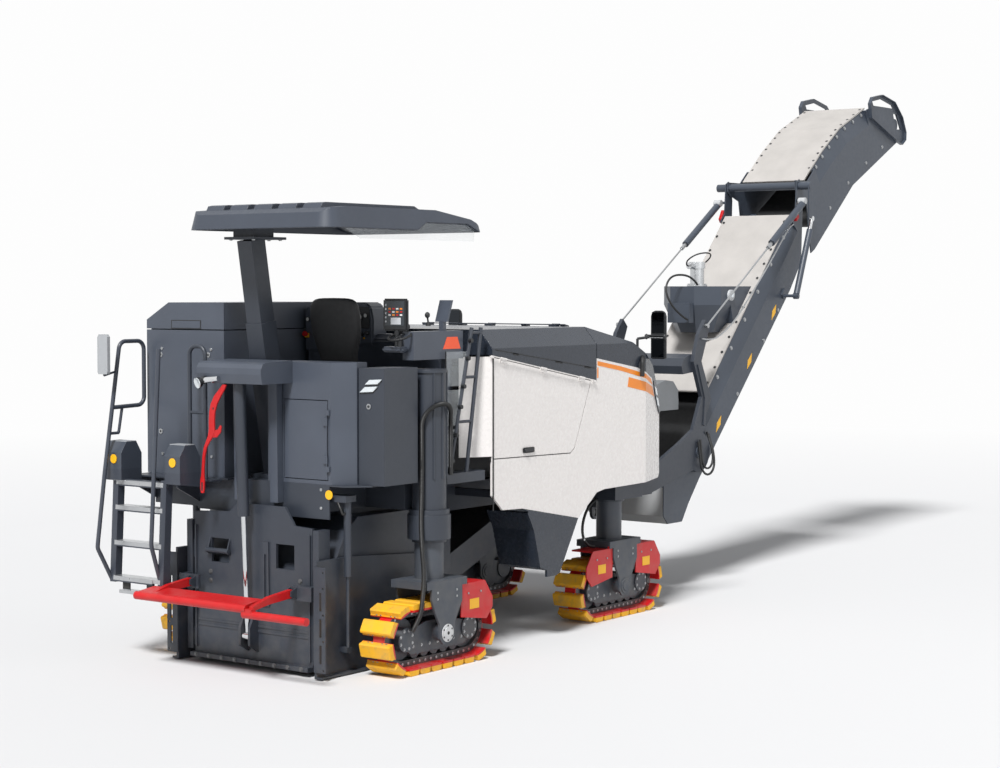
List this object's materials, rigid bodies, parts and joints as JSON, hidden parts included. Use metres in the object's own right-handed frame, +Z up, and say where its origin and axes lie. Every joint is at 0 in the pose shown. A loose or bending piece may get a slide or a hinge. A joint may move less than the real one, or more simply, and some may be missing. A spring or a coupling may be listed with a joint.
{
  "type": "cold planer milling machine",
  "caption": "Cold planer on four steered tracks with milling drum, lifting columns, operator platform with canopy and folding front loading conveyor.",
  "frame": {"origin": "on the ground under the middle of the machine's overall length and width", "axes": "+X ahead, towards the loading conveyor; +Y to the operator's left; +Z up"},
  "size_m": [11.1069, 2.524, 5.15],
  "materials": {
    "body_white": "smooth gloss paint",
    "cabinet_grey": "satin grey paint",
    "canopy_shell": "moulded grey shell",
    "conveyor_belt": "ribbed black rubber",
    "drum_steel": "worn steel",
    "frame_grey": "satin grey paint",
    "mirror_housing": "black housing",
    "rod_chrome": "polished rod",
    "rope_steel": "steel rod and rope",
    "safety_red": "gloss red paint",
    "seat_cover": "black cover",
    "track_pads": "worn yellow pads on red shoes"
  },
  "bodies": {
    "chassis": {"lifting_columns": "frame_grey", "main_frame": "frame_grey", "engine_block": "drum_steel", "drum_housing": "frame_grey", "lift_cylinders": "frame_grey", "cylinder_cover": "cabinet_grey", "side_panel_left": "body_white", "side_panel_right": "body_white", "fenders": "frame_grey", "hood_cowl": "cabinet_grey", "operator_platform": "frame_grey", "rear_cabinet": "cabinet_grey", "right_cabinet": "cabinet_grey", "left_cabinet": "cabinet_grey", "dash_console": "cabinet_grey", "control_console": "cabinet_grey", "operator_seat": "seat_cover", "canopy_mast": "frame_grey", "rear_ladder": "frame_grey", "side_step_ladder": "frame_grey", "handrails": "frame_grey", "primary_conveyor": "frame_grey", "primary_belt": "conveyor_belt", "mirrors": "mirror_housing"},
    "drum": {"milling_drum": "drum_steel"},
    "scraper": {"scraper_plate": "frame_grey"},
    "scraper_piston": {"scraper_rod": "rod_chrome"},
    "edge_left": {"edge_protector_left": "frame_grey"},
    "edge_right": {"edge_protector_right": "frame_grey"},
    "bumper": {"rear_bumper": "safety_red"},
    "track_rear_right": {"track_belt_rear_right": "track_pads", "track_frame_rear_right": "frame_grey"},
    "track_rear_left": {"track_belt_rear_left": "track_pads", "track_frame_rear_left": "frame_grey"},
    "track_front_right": {"track_belt_front_right": "track_pads", "track_frame_front_right": "frame_grey"},
    "track_front_left": {"track_belt_front_left": "track_pads", "track_frame_front_left": "frame_grey"},
    "canopy": {"canopy_slider": "frame_grey", "canopy_roof": "canopy_shell"},
    "door_left": {"side_door_left": "body_white"},
    "door_right": {"side_door_right": "body_white"},
    "hood": {"hood_lid": "cabinet_grey"},
    "rear_door": {"rear_cabinet_door": "cabinet_grey"},
    "cabinet_lid": {"left_cabinet_lid": "cabinet_grey"},
    "yoke": {"slewing_yoke": "frame_grey"},
    "lower_boom": {"conveyor_lower": "frame_grey", "belt_lower": "conveyor_belt", "cover_lower": "body_white", "dust_extraction_hood": "frame_grey"},
    "upper_boom": {"conveyor_upper": "frame_grey", "belt_upper": "conveyor_belt", "cover_upper": "body_white"},
    "luff_barrels": {"luff_cylinders": "frame_grey"},
    "luff_rods": {"luff_ropes": "rope_steel"},
    "fold_barrel": {"fold_cylinder": "frame_grey"},
    "fold_piston": {"fold_rod": "rod_chrome"}
  },
  "joints": [
    {"name": "drum_spin", "type": "hinge", "parent": "chassis", "child": "drum", "pos_m": [-4.094, 0, 0.56], "axis": [0, 1, 0], "continuous": true},
    {"name": "scraper_lift", "type": "slide", "parent": "chassis", "child": "scraper", "axis": [0, 0, 1], "range_m": [0, 0.35]},
    {"name": "scraper_piston_lift", "type": "slide", "parent": "chassis", "child": "scraper_piston", "axis": [-0.0437, 0, 0.999], "range_m": [0, 0.35]},
    {"name": "edge_left_lift", "type": "slide", "parent": "chassis", "child": "edge_left", "axis": [0, 0, 1], "range_m": [0, 0.3]},
    {"name": "edge_right_lift", "type": "slide", "parent": "chassis", "child": "edge_right", "axis": [0, 0, 1], "range_m": [0, 0.3]},
    {"name": "bumper_tilt", "type": "hinge", "parent": "chassis", "child": "bumper", "pos_m": [-5.094, 0, 0.645], "axis": [0, 1, 0], "range_deg": [0, 10]},
    {"name": "steer_rear_right", "type": "hinge", "parent": "chassis", "child": "track_rear_right", "pos_m": [-4.094, -1.07, 0.7], "axis": [0, 0, 1], "range_deg": [-12, 12]},
    {"name": "steer_rear_left", "type": "hinge", "parent": "chassis", "child": "track_rear_left", "pos_m": [-4.094, 1.07, 0.7], "axis": [0, 0, 1], "range_deg": [-12, 12]},
    {"name": "steer_front_right", "type": "hinge", "parent": "chassis", "child": "track_front_right", "pos_m": [-1.139, -0.78, 0.7], "axis": [0, 0, 1], "range_deg": [-28, 28]},
    {"name": "steer_front_left", "type": "hinge", "parent": "chassis", "child": "track_front_left", "pos_m": [-1.139, 0.78, 0.7], "axis": [0, 0, 1], "range_deg": [-28, 28]},
    {"name": "canopy_lower", "type": "slide", "parent": "chassis", "child": "canopy", "axis": [-0.1647, 0, 0.9863], "range_m": [-0.38, 0]},
    {"name": "side_door_left_open", "type": "hinge", "parent": "chassis", "child": "door_left", "pos_m": [-2.644, 1.146, 2.28592], "axis": [0.9859, 0, -0.1673], "range_deg": [0, 80]},
    {"name": "side_door_right_open", "type": "hinge", "parent": "chassis", "child": "door_right", "pos_m": [-2.644, -1.146, 2.28592], "axis": [-0.9859, 0, 0.1673], "range_deg": [0, 80]},
    {"name": "hood_open", "type": "hinge", "parent": "chassis", "child": "hood", "pos_m": [-1.858, 0, 2.636], "axis": [0, 1, 0], "range_deg": [0, 50]},
    {"name": "rear_door_open", "type": "hinge", "parent": "chassis", "child": "rear_door", "pos_m": [-4.859, -0.687, 1.8], "axis": [0, 0, 1], "range_deg": [0, 100]},
    {"name": "cabinet_lid_open", "type": "hinge", "parent": "chassis", "child": "cabinet_lid", "pos_m": [-4.254, 1.241, 2.624], "axis": [-1, 0, 0], "range_deg": [0, 60]},
    {"name": "conveyor_slew", "type": "hinge", "parent": "chassis", "child": "yoke", "pos_m": [-0.244, 0, 1.1], "axis": [0, 0, 1], "range_deg": [-60, 60]},
    {"name": "conveyor_luff", "type": "hinge", "parent": "yoke", "child": "lower_boom", "pos_m": [0.876, 0, 1.335], "axis": [0, 1, 0], "range_deg": [-5, 25]},
    {"name": "conveyor_fold", "type": "hinge", "parent": "lower_boom", "child": "upper_boom", "pos_m": [3.016, 0, 4.04], "axis": [0, -1, 0], "range_deg": [0, 100]},
    {"name": "luff_barrel_turn", "type": "hinge", "parent": "lower_boom", "child": "luff_barrels", "pos_m": [2.986, 0, 3.88], "axis": [0, 1, 0], "range_deg": [-3, 8]},
    {"name": "luff_rod_slide", "type": "slide", "parent": "luff_barrels", "child": "luff_rods", "axis": [-0.8384, 0, -0.545], "range_m": [-0.15, 0.6]},
    {"name": "fold_barrel_turn", "type": "hinge", "parent": "lower_boom", "child": "fold_barrel", "pos_m": [2.676, -0.594, 2.87], "axis": [0, 1, 0], "range_deg": [0, 16]},
    {"name": "fold_rod_slide", "type": "slide", "parent": "fold_barrel", "child": "fold_piston", "axis": [0.383, 0, 0.9237], "range_m": [0, 0.6]}
  ],
  "couplings": [
    {"joint": "scraper_piston_lift", "follows": "scraper_lift", "ratio": 1},
    {"joint": "luff_barrel_turn", "follows": "conveyor_luff", "ratio": 0.2119},
    {"joint": "luff_rod_slide", "follows": "conveyor_luff", "m_per_rad": 1.1152},
    {"joint": "fold_barrel_turn", "follows": "conveyor_fold", "ratio": 0.1228},
    {"joint": "fold_rod_slide", "follows": "conveyor_fold", "m_per_rad": 0.2898}
  ]
}
